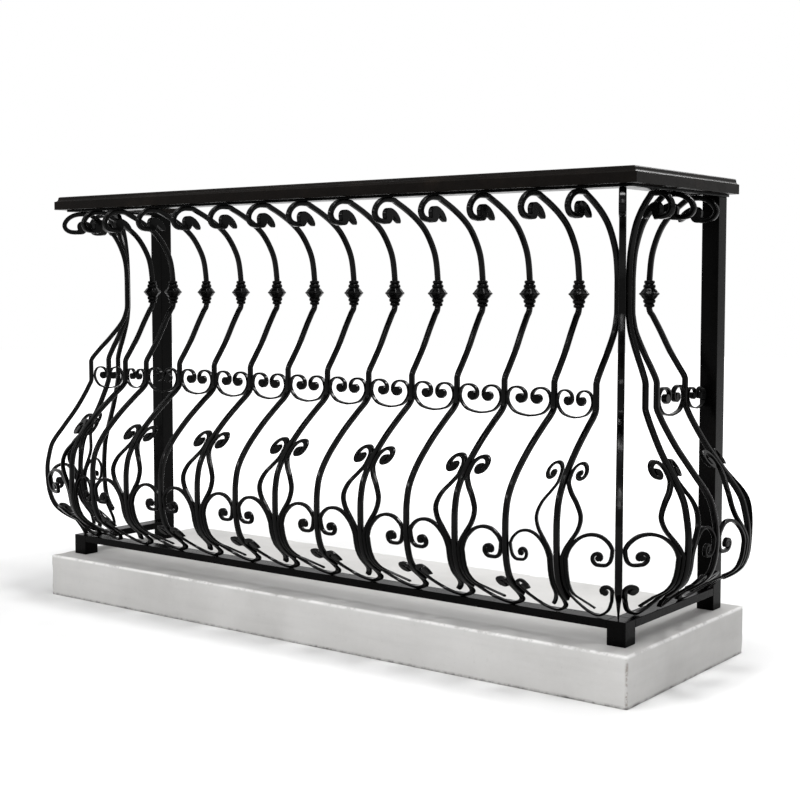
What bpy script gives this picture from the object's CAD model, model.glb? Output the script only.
"""A wrought-iron balcony railing with pot-belly bars, on a concrete plinth.

The bars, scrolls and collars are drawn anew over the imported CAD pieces, from
the CAD's own sizes; rails, posts, cap and plinth are eased copies of them.
X runs along the front, Y runs back from it, Z is up. Shapes are laid out in
millimetres and turned into metres where their points are placed.
"""

import math
from collections import namedtuple

import bmesh
import bpy
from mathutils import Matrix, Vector, noise


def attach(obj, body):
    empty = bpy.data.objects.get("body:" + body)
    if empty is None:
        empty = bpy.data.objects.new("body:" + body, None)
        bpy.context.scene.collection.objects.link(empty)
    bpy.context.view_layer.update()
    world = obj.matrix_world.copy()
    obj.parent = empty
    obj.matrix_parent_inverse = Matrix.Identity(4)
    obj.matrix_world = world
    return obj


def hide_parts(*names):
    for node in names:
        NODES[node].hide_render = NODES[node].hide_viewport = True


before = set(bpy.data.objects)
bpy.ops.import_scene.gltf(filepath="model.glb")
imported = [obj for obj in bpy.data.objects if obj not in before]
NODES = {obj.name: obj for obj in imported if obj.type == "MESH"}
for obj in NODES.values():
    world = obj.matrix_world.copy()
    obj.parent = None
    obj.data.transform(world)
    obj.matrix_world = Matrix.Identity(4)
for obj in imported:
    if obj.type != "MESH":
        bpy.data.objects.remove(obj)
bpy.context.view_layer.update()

# ---------------------------------------------------------------- the CAD's own sizes, in millimetres
FRAME_W, FRAME_INSET = 1875.0, 60.0
PLINTH_MARGIN, PLINTH_D, PLINTH_H = 37.5, 620.0, 120.0
RETURN_R, POST_SIDE = 505.0, 45.0
FRONT_BARS = 13
RAIL_TOP, BAR_LIFT = 58.0, 48.0
RAIL_HEIGHT, CAP_T, SUB_T = 1075.0, 38.0, 6.0
BAR, CORNER_SIDE, PITCH = 13.0, 17.0, 140.0
BELLY_OUT, BELLY_Z = 130.0, 262.0
WAIST_IN, WAIST_Z = 80.0, 554.0
NECK_IN, NECK_Z, CORNER_NECK = 192.0, 792.0, 166.0
HEAD_R = 27.0
LYRE_T, LYRE_W, C_W = 7.0, 12.0, 10.0
WS_T, WS_W, WS_H = 5.0, 12.0, 73.0
GAP = 0.3
COLLAR_D, COLLAR_H = 52.0, 67.0

# heights above the plinth, and places in plan, that follow from them
PZ = PLINTH_H
FX = FRAME_W / 2
FY = -PLINTH_D / 2 + FRAME_INSET
FOOT_Z = RAIL_TOP + BAR_LIFT
UNDER = RAIL_HEIGHT - CAP_T - SUB_T
MID_LAST = 5 * PITCH
END_X = MID_LAST + (FX - MID_LAST) / 2 - 2
POST_R = RETURN_R - POST_SIDE
W_LO, W_HI = WAIST_Z - 26, WAIST_Z + 31
N_LO, N_HI = NECK_Z - COLLAR_H / 2 - 2, NECK_Z + COLLAR_H / 2 + 2
TOP_Z = UNDER - GAP - BAR / 2
W0 = PITCH - BAR - LYRE_T - 2 * GAP

# hammered, a strip of the scrolls looks a little heavier than the CAD's plain section
LYRE_SEEN, C_SEEN = 9.0, 8.2
SWELL = (LYRE_SEEN - LYRE_T) / 2
RAIL_C = RAIL_TOP + GAP + LYRE_SEEN / 2
CS = SWELL + (LYRE_SEEN + C_SEEN) / 2 + GAP


# ---------------------------------------------------------------- lines
def lerp(a, b, t):
    return a + (b - a) * t


def toward(a, b):
    """How far apart two places in plan are, and the direction from a to b."""
    l = math.hypot(b[0] - a[0], b[1] - a[1])
    return l, ((b[0] - a[0]) / l, (b[1] - a[1]) / l)


def upright(start, u, z0, q, b):
    """In metres, the point q = (along, up) of an upright plane through `start` along u, set b to its side."""
    return Vector(((start[0] + u[0] * q[0] - u[1] * b) / 1000,
                   (start[1] + u[1] * q[0] + u[0] * b) / 1000, (z0 + q[1]) / 1000))


def cr(p, q, r, s, t):
    """A Catmull-Rom point between q and r."""
    return tuple(0.5 * (2 * q[i] + (r[i] - p[i]) * t + (2 * p[i] - 5 * q[i] + 4 * r[i] - s[i]) * t * t
                        + (3 * q[i] - p[i] - 3 * r[i] + s[i]) * t ** 3) for i in (0, 1))


def smooth(p, a, b, n):
    """A smooth line through the points p, coming from a and going on to b."""
    k = [a] + list(p) + [b]
    return [cr(k[i - 1], k[i], k[i + 1], k[i + 2], j / n)
            for i in range(1, len(p)) for j in range(n)] + [tuple(p[-1])]


def ends(p, n):
    """A smooth line through the points p that starts and ends straight."""
    a = (2 * p[0][0] - p[1][0], 2 * p[0][1] - p[1][1])
    b = (2 * p[-1][0] - p[-2][0], 2 * p[-1][1] - p[-2][1])
    return smooth(p, a, b, n)


def arc(c, r0, r1, a0, a1, n):
    """An arc or a spiral: radius and angle both run evenly from first to last."""
    out = []
    for i in range(n + 1):
        t = i / n
        a = math.radians(lerp(a0, a1, t))
        out.append((c[0] + lerp(r0, r1, t) * math.cos(a), c[1] + lerp(r0, r1, t) * math.sin(a)))
    return out


# ---------------------------------------------------------------- the bars' curve
# How far in from the frame's face a bar stands at the bottom rail, at its lower end, at belly, waist,
# neck and top; how much its belly is raised; whether it leaves the belly early; whether it is plain,
# which is a bar with no collar to bend at.
Curve = namedtuple("Curve", "rail foot belly waist neck rise early plain top")


def lower(k):
    """From the lower end through the belly to the waist."""
    full = BELLY_Z + k.rise
    swell = [(0.40, 0.12), (0.73, 0.28), (0.90, 0.48), (0.98, 0.72)]
    early = [0.04, 0.13, 0.37, 0.65, 0.85, 0.945]
    late = [0.01, 0.065, 0.225, 0.49, 0.77, 0.935]
    leave = zip(early if k.early else late, [0.13, 0.27, 0.43, 0.61, 0.765, 0.85])
    return smooth([(k.foot, FOOT_Z)]
                  + [(lerp(k.foot, k.belly, u), lerp(FOOT_Z, full, t)) for u, t in swell]
                  + [(k.belly, full)]
                  + [(lerp(k.belly, k.waist, u), lerp(full, WAIST_Z, t)) for u, t in leave]
                  + [(k.waist, W_LO)],
                  (lerp(k.foot, k.belly, -0.5), lerp(FOOT_Z, full, -0.12)), (k.waist, W_LO + 30), 6)


def middle(k):
    """From the waist to the neck."""
    even, bent = [0.20, 0.51, 0.85, 0.97], [0.185, 0.43, 0.69, 0.89]
    reach = zip(even if k.plain else bent, [0.18, 0.40, 0.68, 0.88])
    return smooth([(k.waist, W_HI)]
                  + [(lerp(k.waist, k.neck, u), lerp(W_HI, N_LO, t)) for u, t in reach]
                  + [(k.neck, N_LO)], (k.waist, W_HI - 36), (k.neck + 1, N_LO + 60), 5)


def upper(k):
    """From the neck over to the underside of the cap."""
    steps = [(0.045, 0.27), (0.14, 0.46), (0.29, 0.64), (0.48, 0.775), (0.70, 0.885), (0.90, 0.965)]
    return smooth([(k.neck, N_HI)]
                  + [(lerp(k.neck, k.top, u), lerp(N_HI, TOP_Z, t)) for u, t in steps]
                  + [(k.top, TOP_Z)], (k.neck, N_HI - 40), (k.top - 20, TOP_Z), 5)


HEAD_DRAWN = 27  # radius for which the head's points are given


def on_head(k, p):
    """Points of the head, given from its own middle, put at the top of a bar."""
    return [(k.top + x * HEAD_R / HEAD_DRAWN, TOP_Z - HEAD_R + z * HEAD_R / HEAD_DRAWN) for x, z in p]


HEAD = smooth([(-12, 27), (-30, 26.6), (-46, 22.6), (-59.5, 14.5), (-69, 3.5), (-72, -8),
               (-67, -18.5), (-56, -25), (-41, -27)], (0, 27), (-28, -27), 5)
HEAD_END = [(-35, -26.6), (-29, -25.5)]
HEAD_EYE = [(-34, -32.6), (-30, -33), (-20, -32.6), (-12, -29), (-6.5, -21), (-5, -13), (2.5, -18.5),
            (10, -24), (17, -28.3), (24, -30.5), (26.5, -23), (19, -10.5), (7, -0.5), (-8, 6),
            (-19, 6.8), (-28.5, 3.5), (-34, -3.5), (-35, -11), (-33.5, -19)]

K_FRONT = Curve(10, -54, -BELLY_OUT, WAIST_IN, NECK_IN, 0, False, False, 0)
K_END = Curve(10, -44, -BELLY_OUT + 36, WAIST_IN, NECK_IN - 15, 0, False, True, 0)
K_CORNER_R = Curve(0, -20, -BELLY_OUT + 36, WAIST_IN - 6, CORNER_NECK, 0, False, True, 0)
K_CORNER_L = Curve(34, 6, -BELLY_OUT + 52, WAIST_IN - 24, CORNER_NECK, 0, True, True, 56)
K_R1 = Curve(10, -44, -BELLY_OUT + 12, WAIST_IN - 38, NECK_IN - 83, -10, True, True, 26)
K_R2 = Curve(10, -48, -BELLY_OUT + 10, WAIST_IN - 45, NECK_IN - 91, -20, True, True, 20)
K_R3 = Curve(10, -58, -BELLY_OUT + 10, WAIST_IN - 30, NECK_IN - 42, -42, True, False, 46)
K_L1 = Curve(10, -44, -BELLY_OUT + 18, WAIST_IN - 60, NECK_IN - 88, -10, True, True, 24)
K_L2 = Curve(10, -50, -BELLY_OUT + 15, WAIST_IN - 70, NECK_IN - 97, -20, True, True, 30)


def inward(k, s, top=0):
    """The same curve, set inward by s, and by `top` at its head."""
    return Curve(*(v - s for v in k[:5]), k.rise, k.early, k.plain, k.top - top)


FOOT_BEND = 0.42  # share of the way out that is reached halfway up from the rail


class Bar:
    """One bar: where its zero line stands, the way it leans in, and its curve."""

    def __init__(self, x, y, turn, k, side=BAR):
        self.x, self.y, self.k, self.side = x, y, k, side
        self.d = (math.cos(math.radians(turn)), math.sin(math.radians(turn)))
        self.turn = math.radians(turn)
        rows = [(RAIL_TOP, k.rail), ((RAIL_TOP + FOOT_Z) / 2, lerp(k.rail, k.foot, FOOT_BEND))]
        self.rows = rows + [(p[1], p[0]) for p in lower(k) + middle(k)]

    def depth(self, z):
        """How far in the bar stands at a height, and down to the rail, where only scrolls go."""
        rows = self.rows
        if z <= rows[0][0]:
            return rows[0][1]
        for (z0, d0), (z1, d1) in zip(rows, rows[1:]):
            if z <= z1:
                return lerp(d0, d1, (z - z0) / max(z1 - z0, 1e-6))
        return rows[-1][1]

    def plan(self, z):
        """Where the bar stands, seen from above, at a height."""
        q = self.depth(z)
        return (self.x + self.d[0] * q, self.y + self.d[1] * q)

    def place(self, q, b):
        """A point of the bar's own plane, b to its side."""
        return upright((self.x, self.y), self.d, PZ, q, b)


def front_bar(i):
    """The bars stand evenly about the middle one, apart from the two at the ends."""
    if i == FRONT_BARS:
        return Bar(END_X - 4, FY + 16, 90, inward(K_END, 16))
    return Bar(-END_X + 26 if i == 1 else (i - (FRONT_BARS + 1) // 2) * PITCH, FY, 90, K_FRONT)


FRONT = {i: front_bar(i) for i in range(1, FRONT_BARS + 1)}
CORNER_R = Bar(FX - 29, FY + 20, 118, K_CORNER_R, CORNER_SIDE)
CORNER_L = Bar(-FX + 20, FY + 20, 45, inward(K_CORNER_L, 28, 28), CORNER_SIDE)
R1 = Bar(FX, FY + 139.5, 155.3, K_R1)
R2 = Bar(FX, FY + 208, 181, K_R2)
R3 = Bar(FX, FY + 388, 180, K_R3)
L1 = Bar(-FX, FY + 125, 2.5, K_L1)
L2 = Bar(-FX, FY + 176, -19.1, K_L2)
# the rear post in a bar's place, where the last lyre and the last waist scroll end
R_POST = Bar(FX, FY + POST_R + BAR / 2, 180, K_R3)
R_SIDE = Bar(FX + 22, FY + POST_R + BAR / 2, 180, K_R3)


# ---------------------------------------------------------------- mesh work
class Shell:
    """Closed shells gathered into one mesh."""

    def __init__(self):
        self.v, self.f = [], []

    def tube(self, rings):
        """Closed rings of equal length, joined one to the next and capped at both ends."""
        base, n = len(self.v), len(rings[0])
        for r in rings:
            self.v.extend(r)
        for i in range(len(rings) - 1):
            for j in range(n):
                a, b = base + i * n + j, base + i * n + (j + 1) % n
                self.f.append((a, b, b + n, a + n))
        self.f.append(tuple(base + j for j in reversed(range(n))))
        self.f.append(tuple(base + (len(rings) - 1) * n + j for j in range(n)))

    def sweep(self, place, line, thick, half, r, tip0=True, tip1=True):
        """A rounded four-sided bar along a line of the place's own surface; a tip is an eased end."""
        rings = []

        def ring(p, nrm, ht, hw, rr):
            out = []
            for cx, cy, a0 in ((1, 1, 0), (-1, 1, 90), (-1, -1, 180), (1, -1, 270)):
                for a in (a0, a0 + 30, a0 + 60, a0 + 90):
                    u = cx * (ht - rr) + rr * math.cos(math.radians(a))
                    w = cy * (hw - rr) + rr * math.sin(math.radians(a))
                    out.append(place((p[0] + nrm[0] * u, p[1] + nrm[1] * u), w))
            return out

        def tip(p, t, nrm, ht, hw, rr, s, reach):
            """A ring that draws in with s, set out from p by a share of the arris radius."""
            c = math.sqrt(1 - s * s)
            at = (p[0] + t[0] * rr * 1.6 * reach, p[1] + t[1] * rr * 1.6 * reach)
            rings.append(ring(at, nrm, ht - rr * (1 - c), hw - rr * (1 - c), rr * 0.5))

        n = len(line)
        for i, p in enumerate(line):
            q0, q1 = line[max(i - 1, 0)], line[min(i + 1, n - 1)]
            dx, dz = q1[0] - q0[0], q1[1] - q0[1]
            l = math.hypot(dx, dz) or 1e-6
            t, nrm = (dx / l, dz / l), (-dz / l, dx / l)
            ht = (thick[i] if isinstance(thick, list) else thick) / 2
            hw = half[i] if isinstance(half, list) else half
            rr = min(r, ht * 0.6, hw * 0.6)
            if i == 0 and tip0:
                for s in (0.985, 0.86, 0.6):
                    tip(p, t, nrm, ht, hw, rr, s, 0.6 - s)
            rings.append(ring(p, nrm, ht, hw, rr))
            if i == n - 1 and tip1:
                for s in (0.6, 0.86, 0.985):
                    tip(p, t, nrm, ht, hw, rr, s, s)
        self.tube(rings)

    def blob(self, place, outline, half, r, crown=0.0):
        """A solid cut to an outline, its two faces rounded over and slightly crowned."""
        n = len(outline)
        area = sum(p[0] * q[1] - q[0] * p[1] for p, q in zip(outline, outline[1:] + outline[:1]))
        s = 1 if area > 0 else -1
        nrm = []
        for i in range(n):
            p, q = outline[i - 1], outline[(i + 1) % n]
            dx, dz = q[0] - p[0], q[1] - p[1]
            l = math.hypot(dx, dz) or 1e-6
            nrm.append((s * dz / l, -s * dx / l))
        rings = []
        steps = (1.0, 0.62, 0.29, 0.0)
        for b, inset in [(-1, v) for v in steps] + [(1, v) for v in reversed(steps)]:
            lift = half - r * (1 - math.sqrt(1 - (1 - inset) ** 2)) + (crown if inset == 1.0 else 0.0)
            ins = r * (1 - math.cos(math.asin(inset)))
            rings.append([place((o[0] - m[0] * ins, o[1] - m[1] * ins), b * lift)
                          for o, m in zip(outline, nrm)])
        self.tube(rings)

    def lathe(self, centre, turn, profile, shape, n=48):
        """A turned form; `shape` may change the radius round the turn."""
        rings = []
        for z, r in profile:
            ring = []
            for j in range(n):
                a = 2 * math.pi * j / n
                q = shape(r, a, z)
                x, y = centre[0] + q * math.cos(a + turn), centre[1] + q * math.sin(a + turn)
                ring.append(Vector((x / 1000, y / 1000, (centre[2] + z) / 1000)))
            rings.append(ring)
        self.tube(rings)


WELD = 1e-6  # points closer than this, in metres, are one


def to_smooth_mesh(bm, me, sharp_from):
    """Write a bmesh back, its normals outward, smooth but for edges sharper than an angle in degrees."""
    bmesh.ops.recalc_face_normals(bm, faces=bm.faces)
    for f in bm.faces:
        f.smooth = True
    bm.to_mesh(me)
    bm.free()
    me.set_sharp_from_angle(angle=math.radians(sharp_from))


def settle(name, me, nodes, material):
    """Put a mesh in the scene as the visible piece for some CAD nodes."""
    ob = bpy.data.objects.new(name, me)
    bpy.context.scene.collection.objects.link(ob)
    ob.data.materials.clear()
    ob.data.materials.append(material)
    m = ob.modifiers.new("weighted", "WEIGHTED_NORMAL")
    m.keep_sharp = True
    m.weight = 50
    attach(ob, "root")
    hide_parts(*nodes)


def piece(name, shell, nodes, material):
    """A drawn piece, made of the shells gathered for it."""
    me = bpy.data.meshes.new(name)
    me.from_pydata([tuple(v) for v in shell.v], [], shell.f)
    bm = bmesh.new()
    bm.from_mesh(me)
    bmesh.ops.remove_doubles(bm, verts=bm.verts, dist=WELD)
    to_smooth_mesh(bm, me, 50)
    settle(name, me, nodes, material)


def softened(node, name, width, segments, material, angle=40, roughen=None):
    """A worked copy of a plain CAD piece: its corners eased, its faces smooth-shaded."""
    me = NODES[node].data.copy()
    me.name = name
    bm = bmesh.new()
    bm.from_mesh(me)
    bmesh.ops.remove_doubles(bm, verts=bm.verts, dist=WELD)
    bmesh.ops.dissolve_limit(bm, angle_limit=math.radians(0.5), verts=bm.verts, edges=bm.edges)
    sharp = [e for e in bm.edges if len(e.link_faces) == 2 and e.calc_face_angle() > math.radians(angle)]
    bmesh.ops.bevel(bm, geom=sharp, offset=width / 1000, offset_type="OFFSET", segments=segments, profile=0.5,
                    affect="EDGES", clamp_overlap=False)
    if roughen:
        roughen(bm)
    to_smooth_mesh(bm, me, 60)
    settle(name, me, [node], material)


# ---------------------------------------------------------------- finishes
def tree(name):
    """A new material: itself, its node tree, its Principled shader and the object's coordinates."""
    m = bpy.data.materials.new(name)
    m.use_nodes = True
    nt = m.node_tree
    nt.nodes.clear()
    out = nt.nodes.new("ShaderNodeOutputMaterial")
    b = nt.nodes.new("ShaderNodeBsdfPrincipled")
    nt.links.new(b.outputs[0], out.inputs["Surface"])
    co = nt.nodes.new("ShaderNodeTexCoord").outputs["Object"]
    return m, nt, b, co


def cloud(nt, co, scale, detail=4.0, rough=0.55, stretch=None):
    """Noise of a scale, which may be stretched along the axes."""
    n = nt.nodes.new("ShaderNodeTexNoise")
    n.inputs["Scale"].default_value = scale
    n.inputs["Detail"].default_value = detail
    n.inputs["Roughness"].default_value = rough
    if stretch:
        mp = nt.nodes.new("ShaderNodeMapping")
        mp.inputs["Scale"].default_value = stretch
        nt.links.new(co, mp.inputs["Vector"])
        co = mp.outputs["Vector"]
    nt.links.new(co, n.inputs["Vector"])
    return n.outputs["Fac"]


def ramp(nt, fac, stops):
    """Colours at given values."""
    r = nt.nodes.new("ShaderNodeValToRGB")
    el, stops = r.color_ramp.elements, list(stops)
    while len(el) < len(stops):
        el.new(0.5)
    for e, (pos, col) in zip(el, stops):
        e.position = pos
        e.color = (*col, 1.0)
    nt.links.new(fac, r.inputs["Fac"])
    return r.outputs["Color"]


def span(nt, fac, a, b, lo=0.3, hi=0.7):
    """From a to b as the value goes from lo to hi."""
    m = nt.nodes.new("ShaderNodeMapRange")
    m.inputs["From Min"].default_value = lo
    m.inputs["From Max"].default_value = hi
    m.inputs["To Min"].default_value = a
    m.inputs["To Max"].default_value = b
    nt.links.new(fac, m.inputs["Value"])
    return m.outputs["Result"]


def bump(nt, parts, shader):
    """Bumps laid over each other: (height, strength, depth in metres) each."""
    last = None
    for height, strength, distance in parts:
        n = nt.nodes.new("ShaderNodeBump")
        n.inputs["Strength"].default_value = strength
        n.inputs["Distance"].default_value = distance
        nt.links.new(height, n.inputs["Height"])
        if last:
            nt.links.new(last, n.inputs["Normal"])
        last = n.outputs["Normal"]
    nt.links.new(last, shader.inputs["Normal"])


def iron(name, colours, rough, hammer, gloss):
    """Black paint over forged iron: faint hammer marks, a brushed-out film, slightly dusty high spots."""
    m, nt, b, co = tree(name)
    broad = cloud(nt, co, 9.0, 5.0)
    nt.links.new(ramp(nt, broad, zip((0.30, 0.55, 0.75), colours)), b.inputs["Base Color"])
    nt.links.new(span(nt, cloud(nt, co, 46.0, 3.0), *rough), b.inputs["Roughness"])
    b.inputs["Metallic"].default_value = 0.0
    b.inputs["Specular IOR Level"].default_value = gloss
    bump(nt, [(cloud(nt, co, 70.0, 2.0), hammer, 0.0012), (cloud(nt, co, 420.0, 3.0), 0.12, 0.0003)], b)
    return m


IRON = iron("iron_paint", ((0.0005, 0.0005, 0.0006), (0.0010, 0.0010, 0.0010), (0.0030, 0.0027, 0.0025)),
            rough=(0.08, 0.22), hammer=0.22, gloss=0.070)
IRON_SCROLL = iron("iron_paint_scrolls",
                   ((0.0005, 0.0005, 0.0006), (0.0009, 0.0009, 0.0009), (0.0026, 0.0024, 0.0022)),
                   rough=(0.09, 0.24), hammer=0.30, gloss=0.045)
IRON_FLAT = iron("iron_paint_rails",
                 ((0.0005, 0.0005, 0.0005), (0.0010, 0.0009, 0.0009), (0.0028, 0.0025, 0.0023)),
                 rough=(0.16, 0.30), hammer=0.16, gloss=0.035)
IRON_CAST = iron("iron_paint_cast",
                 ((0.0005, 0.0005, 0.0006), (0.0010, 0.0009, 0.0009), (0.0032, 0.0030, 0.0028)),
                 rough=(0.14, 0.30), hammer=0.50, gloss=0.050)
IRON_CAP = iron("iron_paint_cap",
                ((0.0016, 0.0010, 0.0007), (0.0030, 0.0020, 0.0014), (0.0080, 0.0056, 0.0040)),
                rough=(0.28, 0.42), hammer=0.12, gloss=0.045)


def from_edge(nt, co, keep, at):
    """Distance from a straight edge: `keep` drops the direction the edge runs in."""
    flat = nt.nodes.new("ShaderNodeVectorMath")
    flat.operation = "MULTIPLY"
    flat.inputs[1].default_value = keep
    nt.links.new(co, flat.inputs[0])
    gap = nt.nodes.new("ShaderNodeVectorMath")
    gap.operation = "DISTANCE"
    gap.inputs[1].default_value = at
    nt.links.new(flat.outputs["Vector"], gap.inputs[0])
    return gap.outputs["Value"]


def both(nt, kind, a, c):
    """One sum, product, least or most of two values."""
    m = nt.nodes.new("ShaderNodeMath")
    m.operation = kind
    nt.links.new(a, m.inputs[0])
    nt.links.new(c, m.inputs[1])
    return m.outputs[0]


def nearest(nt, co, keep, places):
    """Distance from the nearest of some parallel edges."""
    last = from_edge(nt, co, keep, places[0])
    for at in places[1:]:
        last = both(nt, "MINIMUM", last, from_edge(nt, co, keep, at))
    return last


def worn(nt, co, distance, whole, gone, scale, amount, lo, hi):
    """A mask that is whole up to one distance, gone at another, and broken up by noise.

    The noise has its own scale; it lets through the two amounts below lo and above hi.
    """
    return both(nt, "MULTIPLY", span(nt, distance, 1.0, 0.0, whole, gone),
                span(nt, cloud(nt, co, scale, 6.0, 0.75), *amount, lo, hi))


def mixed(nt, kind, fac, a, c):
    """Colour a with colour c over it; `fac` is a number or a mask."""
    mix = nt.nodes.new("ShaderNodeMix")
    mix.data_type = "RGBA"
    mix.blend_type = kind
    for value, socket in ((fac, mix.inputs["Factor"]), (a, mix.inputs[6]), (c, mix.inputs[7])):
        if isinstance(value, (float, tuple)):
            socket.default_value = value
        else:
            nt.links.new(value, socket)
    return mix.outputs[2]


RUBBED, CHIPPED, GRUBBY = (0.82, 0.815, 0.805, 1.0), (0.20, 0.17, 0.145, 1.0), (0.09, 0.085, 0.08, 1.0)


def concrete(name):
    """Smooth cast concrete: trowelled clouds, specks, a grubby lower edge, rubbed and chipped arrises."""
    m, nt, b, co = tree(name)
    base = ramp(nt, cloud(nt, co, 2.6, 7.0, 0.60),
                [(0.28, (0.462, 0.456, 0.446)), (0.52, (0.540, 0.534, 0.524)), (0.74, (0.590, 0.584, 0.574))])
    fine = cloud(nt, co, 75.0, 6.0, 0.7)
    speck = ramp(nt, fine, [(0.31, (0.92, 0.92, 0.915)), (0.40, (1.0, 1.0, 1.0)), (0.70, (1.01, 1.01, 1.01))])
    streak = ramp(nt, cloud(nt, co, 3.0, 5.0, 0.6, (1.0, 1.0, 9.0)),
                  [(0.30, (0.94, 0.94, 0.94)), (0.50, (1.0, 1.0, 1.0)), (0.75, (1.03, 1.03, 1.03))])
    height = nt.nodes.new("ShaderNodeSeparateXYZ")
    nt.links.new(co, height.inputs[0])
    hx, hy, top = (FRAME_W + 2 * PLINTH_MARGIN) / 2000, PLINTH_D / 2000, PLINTH_H / 1000
    long_edges = nearest(nt, co, (0, 1, 1), [(0, -hy, top), (0, hy, top)])
    short_edges = nearest(nt, co, (1, 0, 1), [(hx, 0, top), (-hx, 0, top)])
    corners = nearest(nt, co, (1, 1, 0), [(x, y, 0) for x in (hx, -hx) for y in (-hy, hy)])
    arris = both(nt, "MINIMUM", long_edges, short_edges)
    grub = worn(nt, co, height.outputs["Z"], 0.001, 0.008, 58.0, (0.25, 0.95), 0.44, 0.60)
    rubbed = worn(nt, co, arris, 0.003, 0.008, 22.0, (0.0, 1.0), 0.38, 0.50)
    chipped = worn(nt, co, corners, 0.002, 0.007, 60.0, (0.0, 0.95), 0.46, 0.54)
    colour = mixed(nt, "MULTIPLY", 0.8, base, speck)
    colour = mixed(nt, "MULTIPLY", 1.0, colour, streak)
    colour = mixed(nt, "MIX", rubbed, colour, RUBBED)
    colour = mixed(nt, "MIX", chipped, colour, CHIPPED)
    colour = mixed(nt, "MIX", grub, colour, GRUBBY)
    nt.links.new(colour, b.inputs["Base Color"])
    nt.links.new(span(nt, cloud(nt, co, 18.0, 4.0), 0.68, 0.90), b.inputs["Roughness"])
    b.inputs["Specular IOR Level"].default_value = 0.25
    pits = nt.nodes.new("ShaderNodeTexVoronoi")
    pits.inputs["Scale"].default_value = 42.0
    nt.links.new(co, pits.inputs["Vector"])
    bump(nt, [(span(nt, pits.outputs["Distance"], 0.0, 1.0, 0.02, 0.12), 0.08, 0.0006),
              (cloud(nt, co, 9.0, 6.0, 0.6), 0.16, 0.0030), (fine, 0.08, 0.0004)], b)
    return m


CONCRETE = concrete("cast_concrete")


# ---------------------------------------------------------------- bars
BAR_ARRIS, EYE_ARRIS = 3.2, 2.2
EYE_IN = 0.3  # how far the eye of a head stands back from the bar's sides
POINT, NIB = 1.5, 4.5  # half-widths of a corner bar at its very tip and where it starts to swell
NIB_Z, FULL_Z = FOOT_Z - 14, FOOT_Z + 24


def foot_width(b, z, z0):
    """Half-width of a corner bar near the foot, where it is drawn out to a point."""
    if z < NIB_Z:
        return lerp(POINT, NIB, (z - z0) / (NIB_Z - z0))
    if z < FULL_Z:
        return lerp(NIB, b.side / 2, (z - NIB_Z) / (FULL_Z - NIB_Z))
    return b.side / 2


def bar_piece(name, node, b, foot=False):
    """A bar with the curled head that ends it; with `foot` it goes on down to the bottom rail."""
    line = lower(b.k) + middle(b.k) + upper(b.k) + on_head(b.k, HEAD + HEAD_END)
    half = b.side / 2
    if foot:
        z0 = RAIL_TOP + GAP
        bend = (lerp(b.k.rail, b.k.foot, FOOT_BEND), (RAIL_TOP + FOOT_Z) / 2)
        line = ends([(b.k.rail + 1, z0), bend, (b.k.foot, FOOT_Z)], 8)[:-1] + line
        half = [foot_width(b, p[1], z0) for p in line]
    sh = Shell()
    sh.sweep(b.place, line, BAR, half, BAR_ARRIS, tip0=not foot, tip1=False)
    eye = on_head(b.k, HEAD_EYE)
    sh.blob(b.place, smooth(eye + eye[:1], eye[-1], eye[1], 2)[:-1], b.side / 2 - EYE_IN, EYE_ARRIS)
    piece(name, sh, [node], IRON)


for i, b in FRONT.items():
    bar_piece("bar_front_%02d" % i, "front_bar_%02d" % i, b)
bar_piece("bar_corner_left", "corner_bar_left", CORNER_L, foot=True)
bar_piece("bar_corner_right", "corner_bar_right", CORNER_R, foot=True)
for side, bars in (("left", (L1, L2)), ("right", (R1, R2, R3))):
    for i, b in enumerate(bars, 1):
        bar_piece("bar_%s_%d" % (side, i), "%s_bar_%d" % (side, i), b)


# ---------------------------------------------------------------- scrolls that follow the belly
def beside(u, b, w, t):
    """How far along u from a bar the middle of a strip stands, w wide and t thick, to lie clear of it."""
    c = abs(u[0] * b.d[1] - u[1] * b.d[0])
    p = abs(u[0] * b.d[0] + u[1] * b.d[1])
    return min((b.side / 2 + GAP + t / 2 * c + w / 2 * p) / c, t / 2 + GAP + b.side / 2 * c + BAR / 2 * p)


# At one height of a bay: where it starts, which way it runs, how far along it the first strip's middle
# lies, the room from there to the last strip's, and the share of full thickness that a narrow bay allows.
Row = namedtuple("Row", "start along first room share")


class Bay:
    """The curved surface between two bars, on which a scroll w wide is laid out."""

    def __init__(self, a, b, w):
        self.a, self.b, self.w = a, b, w
        self.memo = {}

    def at(self, z):
        """The bay's row at a height, worked out once."""
        key = round(z, 3)
        if key not in self.memo:
            start = self.a.plan(z)
            l, u = toward(start, self.b.plan(z))
            room = l - beside(u, self.a, self.w, LYRE_T) - beside(u, self.b, self.w, LYRE_T)
            f = min(1, room / W0)
            ca, cb = beside(u, self.a, self.w, LYRE_T * f), beside(u, self.b, self.w, LYRE_T * f)
            self.memo[key] = Row(start, u, ca, l - ca - cb, f)
        return self.memo[key]

    def flat(self, p):
        """From a place in a full bay, W0 wide, to the place along this one."""
        row = self.at(p[1])
        return (row.first + p[0] * row.room / W0, p[1])

    def place(self, q, b):
        row = self.at(q[1])
        return upright(row.start, row.along, PZ, q, b)

    def scroll(self, sh, path, r):
        line = [self.flat(p[:2]) for p in path]
        thick = [p[2] * self.at(p[1]).share for p in path]
        sh.sweep(self.place, line, thick, self.w / 2, r)

    def ball(self, sh, centre, rad, r):
        """The solid eye in the middle of a curl."""
        rad *= lerp(1, self.at(centre[1]).share, 0.5)
        out = [self.flat(p) for p in arc(centre, rad, rad, 0, 345, 23)]
        sh.blob(self.place, out, self.w / 2 + 0.6, r, 0.3)


def weigh(points, t0, t1):
    """The points with a thickness that runs evenly from t0 to t1."""
    n = len(points) - 1
    return [(p[0], p[1], lerp(t0, t1, i / n)) for i, p in enumerate(points)]


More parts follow.
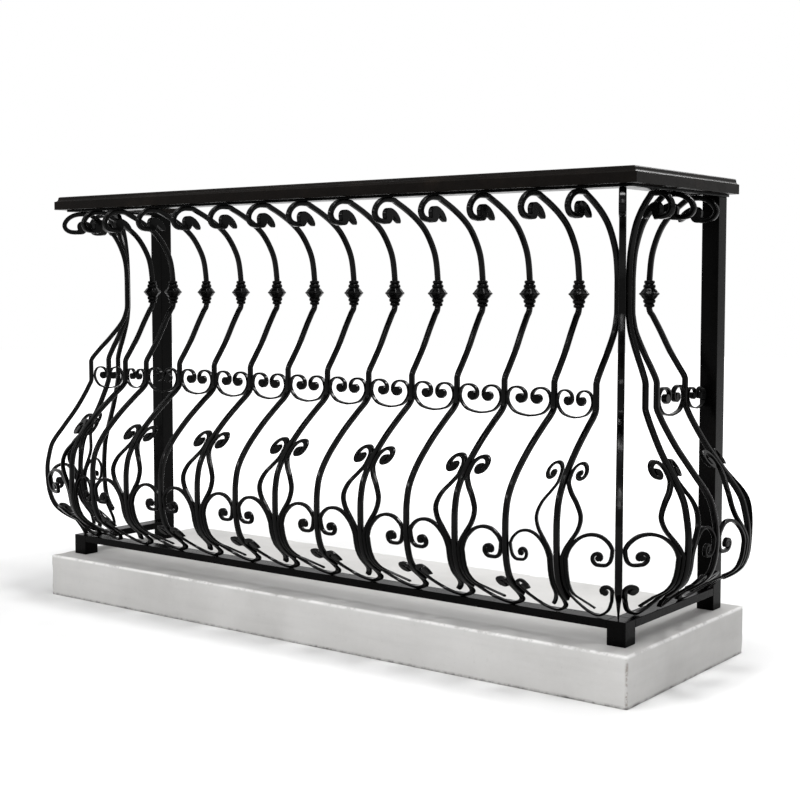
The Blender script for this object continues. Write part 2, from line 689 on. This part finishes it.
def lyre_path():
    """From the upper curl down one bar's side, through the U and up into the curl at the other bar."""
    t = LYRE_SEEN
    p = weigh(arc((26, 393), 5, 25.5, -200, 178, 34), t + 1.4, t)
    p += weigh(ends([(0, 382), (2, 370), (14, 352), (33, 328), (44, 300), (38, 272), (21, 246),
                     (9, 228), (0, 208)], 6), t, t)
    p += weigh([(0, 192), (0, 176), (0, 160), (0, 143), (0, 126)], t, t)
    p += weigh(ends([(1, FOOT_Z + 8), (5, FOOT_Z - 8), (14, FOOT_Z - 24), (30, RAIL_C + 8), (W0 / 2, RAIL_C),
                     (W0 - 30, RAIL_C + 7), (W0 - 12, RAIL_C + 20), (W0 - 3, RAIL_C + 40)], 6), t, t)
    p += weigh(arc((W0 - 14, 132), 14, 12, 0, 205, 18), t, t + 4)
    return [(SWELL + q[0] * (W0 - 2 * SWELL) / W0, q[1], q[2]) for q in p]


def upper_path():
    """From the U up one bar's side and over to the other, where it curls back."""
    t = C_SEEN
    p = weigh(ends([(56, RAIL_TOP + 23), (30, 100), (13, 119), (CS, 146)], 6), t, t)
    p += weigh([(CS, 163), (CS, 180)], t, t)
    p += weigh(ends([(CS, 205), (CS + 6, 223), (27, 240), (45, 256), (68, 264), (92, 261), (110, 248),
                     (W0 + (LYRE_T - t) / 2, 234)], 6), t, t)
    p += weigh(ends([(W0 - 2, 219), (W0 - 6, 206), (W0 - 15, 197.8), (W0 - 28, 196.3)], 6), t, t)
    return p + weigh(arc((W0 - 33.5, 212.5), 16, 5, 258, -30, 26), t, t + 1.6)


LYRE, UPPER = lyre_path(), upper_path()
HOOK = 30  # how many of the lyre's last points make its hook


def lyre(sh, a, b, hook=True):
    """A lyre scroll with its two eyes; without the hook it ends in the U."""
    bay = Bay(a, b, LYRE_W)
    bay.scroll(sh, LYRE if hook else LYRE[:-HOOK], 2.0)
    bay.ball(sh, (25.5, 393), 7.6, 2.2)
    if hook:
        bay.ball(sh, (W0 - 20.0, 129.5), 9.6, 2.6)


def upper_scroll(sh, a, b):
    """A smaller scroll that rises from the U and lies over it, with its eye."""
    bay = Bay(a, b, C_W)
    bay.scroll(sh, UPPER, 1.7)
    bay.ball(sh, (W0 - 33.0, 212.0), 6.6, 2.0)


def pairs(draw):
    """One scroll between each two front bars, every second one turned round."""
    sh = Shell()
    for i in range(1, FRONT_BARS):
        if i % 2:
            draw(sh, FRONT[i], FRONT[i + 1])
        else:
            draw(sh, FRONT[i + 1], FRONT[i])
    return sh


piece("scrolls_upper_front", pairs(upper_scroll), ["upper_scrolls_front"], IRON_SCROLL)
piece("scrolls_lyre_front", pairs(lyre), ["lyre_scrolls_front"], IRON_SCROLL)
LEFT_BAYS = ((FRONT[1], CORNER_L), (L1, CORNER_L), (L1, L2))
RIGHT_BAYS = ((FRONT[FRONT_BARS], CORNER_R), (R1, CORNER_R), (R1, R2), (R3, R2))
for draw, kind in ((upper_scroll, "upper"), (lyre, "lyre")):
    for side, bays in (("left", LEFT_BAYS), ("right", RIGHT_BAYS)):
        sh = Shell()
        for a, b in bays:
            draw(sh, a, b)
        if kind == "lyre" and side == "right":
            lyre(sh, R3, R_POST, hook=False)
        piece("scrolls_%s_%s" % (kind, side), sh, ["%s_scrolls_%s" % (kind, side)], IRON_SCROLL)


# ---------------------------------------------------------------- waist scrolls
WS_FULL = 122  # the room from which a waist scroll has its full thickness
WS_DROP = 18  # how far its middle hangs below the waist


def waist(sh, a, b):
    """A pair of curls that rise from one strip laid between two bars."""
    start = a.plan(WAIST_Z)
    l, u = toward(start, b.plan(WAIST_Z))
    ca, cb = beside(u, a, WS_W, 0) - GAP, beside(u, b, WS_W, 0) - GAP
    room = l - ca - cb
    t = WS_T * min(1, room / WS_FULL)
    w = room / 2 - GAP - t / 2
    h = WS_H * min(1, 0.4 + w / 90)
    inner, outer = w * 0.15, w * 0.97
    rise = ends([(w * 0.33, t / 2 + h * 0.03), (w * 0.66, h * 0.15), (w * 0.9, h * 0.345), (w, h * 0.56),
                 (w * 0.955, h * 0.78)], 6)
    half = weigh([(0, t / 2)] + rise, t, t)
    curl = [((outer + inner) / 2 + (outer - inner) / 2 * math.cos(math.radians(deg)),
             h * 0.7 + (h * 0.3 - t / 2) * math.sin(math.radians(deg))) for deg in range(42, 180, 7)]
    half += weigh(curl, t, t * 1.3)
    half += weigh(ends([(inner + 0.1, h * 0.62), (inner + w * 0.06, h * 0.54), (w * 0.31, h * 0.485),
                        (w * 0.43, h * 0.48)], 4), t * 1.3, t * 1.3)
    mid = (start[0] + u[0] * (ca + room / 2), start[1] + u[1] * (ca + room / 2))
    z0 = PZ + WAIST_Z - WS_DROP - h / 2

    def place(q, s):
        return upright(mid, u, z0, q, s)

    line = [(-p[0], p[1], p[2]) for p in reversed(half)] + half[1:]
    sh.sweep(place, [p[:2] for p in line], [p[2] for p in line], WS_W / 2, 1.4)
    for s in (-1, 1):
        eye = [(s * (w * 0.41 + w * 0.18 * math.cos(math.radians(deg))),
                h * 0.61 + h * 0.15 * math.sin(math.radians(deg))) for deg in range(0, 360, 15)]
        sh.blob(place, eye, WS_W / 2 + 0.5, 2.0, 0.3)


sh = Shell()
for i in range(1, FRONT_BARS):
    waist(sh, FRONT[i], FRONT[i + 1])
waist(sh, CORNER_L, FRONT[1])
piece("scrolls_waist_front", sh, ["waist_scrolls_front"], IRON_SCROLL)
sh = Shell()
waist(sh, R2, R3)
waist(sh, R3, R_SIDE)
piece("scrolls_waist_right", sh, ["waist_scrolls_right"], IRON_SCROLL)


# ---------------------------------------------------------------- cast collars
def collar_profile():
    """Height and radius, from the collar's lower end up to its middle and the same back above it."""
    h, r = COLLAR_H / 2, COLLAR_D / 2
    low = [(0, 7.5), (0, 10), (1, 12.2), (2, 13), (3.5, 13.5), (5, 13.5), (7, 12.9), (8, 12.3), (9, 11),
           (10, 12.6), (11, 14), (12.5, 15.1), (14, 15.5), (17, 15.5), (18, 15.0), (19, 14), (20, 15),
           (21, 16.3), (23, 18.2), (26, 20.8)]
    half = [(z - h, q) for z, q in low] + [(-4, r - 3.2), (-2.6, r - 1.3), (-1.2, r - 0.2), (0, r)]
    return half + [(-z, q) for z, q in reversed(half[:-1])]


KNUCKLE = 15  # half the height that the leaves take up
LEAVES = 8


def cast(r, a, z):
    """Leaf-like flutes on the knuckle, and a slight square set where the collar grips the bar."""
    body = max(0.0, 1 - abs(z) / KNUCKLE)
    flute = 0.10 * body * (1 - body) * 4 * (0.5 - 0.5 * math.cos(LEAVES * a))
    rim = 0.035 * (1 - body) * math.cos(4 * a)
    return r * (1 - flute + min(0.0, rim))


def add_collar(sh, b):
    """A collar round the neck of a bar."""
    q = b.k.neck
    sh.lathe((b.x + b.d[0] * q, b.y + b.d[1] * q, PZ + NECK_Z), b.turn, collar_profile(), cast)


# the last front bar is plain
sh = Shell()
for i in range(1, FRONT_BARS):
    add_collar(sh, FRONT[i])
piece("collars_cast_front", sh, ["collars_front"], IRON_CAST)
sh = Shell()
add_collar(sh, R3)
piece("collar_cast_right", sh, ["collar_right"], IRON_CAST)

# ---------------------------------------------------------------- rails, posts, cap
for node, name in (("bottom_rail_front", "rail_front"), ("bottom_rail_left", "rail_left"),
                   ("bottom_rail_right", "rail_right"), ("front_feet", "feet_front"),
                   ("rear_post_left", "post_left"), ("rear_post_right", "post_right")):
    softened(node, name, 1.6, 3, IRON_FLAT)
for side in ("front", "left", "right"):
    softened("sub_rail_" + side, "flat_bar_" + side, 0.8, 2, IRON_FLAT)
    softened("cap_rail_" + side, "cap_" + side, 0.7, 2, IRON_CAP, angle=50)


# ---------------------------------------------------------------- plinth
CELL = 0.012  # metres between the cuts that give the arrises points to move
REACH = 0.008  # how far in from an arris the wear goes
DEPTH = 0.0022  # the most that a point moves along an axis
FLAT = 0.0005  # the underside, up to here, stays as it is


def wear(bm):
    """Cut the block finely and let its arrises wander inwards by up to about two millimetres."""
    lo = Vector([min(v.co[i] for v in bm.verts) for i in range(3)])
    hi = Vector([max(v.co[i] for v in bm.verts) for i in range(3)])
    for axis in range(3):
        n = max(2, int((hi[axis] - lo[axis]) / CELL))
        for j in range(1, n):
            at, across = lo.copy(), Vector((0, 0, 0))
            at[axis] = lerp(lo[axis], hi[axis], j / n)
            across[axis] = 1
            every = bm.verts[:] + bm.edges[:] + bm.faces[:]
            bmesh.ops.bisect_plane(bm, geom=every, plane_co=at, plane_no=across)
    mid = (lo + hi) / 2
    for v in bm.verts:
        depth = [min(v.co[i] - lo[i], hi[i] - v.co[i]) for i in range(3)]
        first, second = (max(d, 0) for d in sorted(depth)[:2])
        edge = max(0.0, 1 - first / REACH) * max(0.0, 1 - second / (2 * REACH))
        if v.co.z - lo.z < FLAT:
            edge = 0.0
        chip = max(0.0, noise.noise(v.co * 31) - 0.18) * 2.2 + 0.25 * max(0.0, noise.noise(v.co * 90))
        to_mid = mid - v.co
        step = Vector([math.copysign(1, to_mid[i]) if depth[i] < CELL else 0.0 for i in range(3)])
        if v.co.z - lo.z < CELL:
            step.z = 0.0
        v.co += step * DEPTH * edge * min(1.0, chip)


softened("plinth", "plinth_block", 0.6, 1, CONCRETE, angle=80, roughen=wear)


# ---------------------------------------------------------------- studio
def backdrop_rays(nt):
    """1 for what the camera sees, straight, in a gloss or through glass."""
    rays = nt.nodes.new("ShaderNodeLightPath").outputs
    seen = both(nt, "MAXIMUM", rays["Is Camera Ray"], rays["Is Glossy Ray"])
    return both(nt, "MAXIMUM", seen, rays["Is Transmission Ray"])


FLOOR_HALF, FLOOR_Z = 14.0, -0.0005
NEAR, FAR = 1.2, 3.2  # metres from the middle, where the floor starts to go over into white and is white


def floor_material():
    """A pale floor that keeps its shadow near the object and goes over into the white backdrop."""
    m, nt, b, co = tree("studio_floor")
    nt.links.new(ramp(nt, cloud(nt, co, 1.5, 2.0), [(0.4, (0.79, 0.79, 0.79)), (0.6, (0.81, 0.81, 0.81))]),
                 b.inputs["Base Color"])
    nt.links.new(span(nt, cloud(nt, co, 4.0, 2.0), 0.85, 0.95), b.inputs["Roughness"])
    b.inputs["Specular IOR Level"].default_value = 0.0
    away = nt.nodes.new("ShaderNodeVectorMath")
    away.operation = "LENGTH"
    nt.links.new(co, away.inputs[0])
    glow = span(nt, away.outputs["Value"], 0.0, 1.0, NEAR, FAR)
    b.inputs["Emission Color"].default_value = (1, 1, 1, 1)
    nt.links.new(both(nt, "MULTIPLY", glow, backdrop_rays(nt)), b.inputs["Emission Strength"])
    return m


me = bpy.data.meshes.new("studio_floor")
corners = ((-1, -1), (1, -1), (1, 1), (-1, 1))
me.from_pydata([(x * FLOOR_HALF, y * FLOOR_HALF, FLOOR_Z) for x, y in corners], [], [(0, 1, 2, 3)])
me.materials.append(floor_material())
floor = bpy.data.objects.new("studio_floor", me)
bpy.context.scene.collection.objects.link(floor)


def lamp(name, at, look, size, watts):
    """A white panel lamp, its width and height in metres, turned towards `look`."""
    d = bpy.data.lights.new(name, "AREA")
    d.shape = "RECTANGLE"
    d.size, d.size_y = size
    d.energy = watts
    ob = bpy.data.objects.new(name, d)
    ob.location = at
    ob.rotation_euler = (Vector(look) - Vector(at)).to_track_quat("-Z", "Y").to_euler()
    bpy.context.scene.collection.objects.link(ob)


# each lamp's place, what it points at, its width and height, and its watts
lamp("key", (-0.4, -5.2, 2.7), (0, 0, 0.5), (0.6, 0.6), 28)
lamp("streak", (2.5, -3.25, 2.9), (0.9, -0.25, 0.5), (0.22, 2.6), 42)
lamp("panel", (-2.6, -3.35, 3.0), (0, -0.35, 0.5), (2.4, 0.35), 48)
lamp("overhead", (-0.4, -2.6, 4.2), (0, 0, 0.6), (3.6, 0.10), 24)
lamp("fill", (4.4, -0.6, 2.8), (0.3, 0, 0.5), (0.3, 1.4), 8)
lamp("rim", (1.3, 3.4, 3.6), (0.8, 0, 0.1), (1.6, 0.6), 100)
lamp("top", (0.9, -0.3, 4.4), (0.8, 0, 0.2), (0.9, 0.9), 92)

AMBIENT, BACKDROP = 0.46, 1.0  # the world's strength as light, and where it is seen


def white_world():
    """Soft white light from all round, and full white where the backdrop itself is seen."""
    world = bpy.data.worlds.new("studio")
    world.use_nodes = True
    nt = world.node_tree
    nt.nodes.clear()
    mix = nt.nodes.new("ShaderNodeMixShader")
    nt.links.new(backdrop_rays(nt), mix.inputs["Fac"])
    for i, strength in ((1, AMBIENT), (2, BACKDROP)):
        white = nt.nodes.new("ShaderNodeBackground")
        white.inputs["Color"].default_value = (1, 1, 1, 1)
        white.inputs["Strength"].default_value = strength
        nt.links.new(white.outputs[0], mix.inputs[i])
    nt.links.new(mix.outputs[0], nt.nodes.new("ShaderNodeOutputWorld").inputs["Surface"])
    return world


bpy.context.scene.world = white_world()

CAMERA_AT = (2.4288, -3.054, 0.9375)
CAMERA_DOWN, CAMERA_TURN = 3.89, 37.17  # degrees below the horizon, and round from straight on

cam = bpy.data.cameras.new("view")
cam.sensor_width = 36
cam.lens = 63.801
cam.shift_y = -0.025
cam.clip_end = 60
view = bpy.data.objects.new("view", cam)
view.location = CAMERA_AT
view.rotation_euler = (math.radians(90 - CAMERA_DOWN), 0, math.radians(CAMERA_TURN))
bpy.context.scene.collection.objects.link(view)
bpy.context.scene.camera = view
bpy.context.scene.view_settings.view_transform = "Standard"
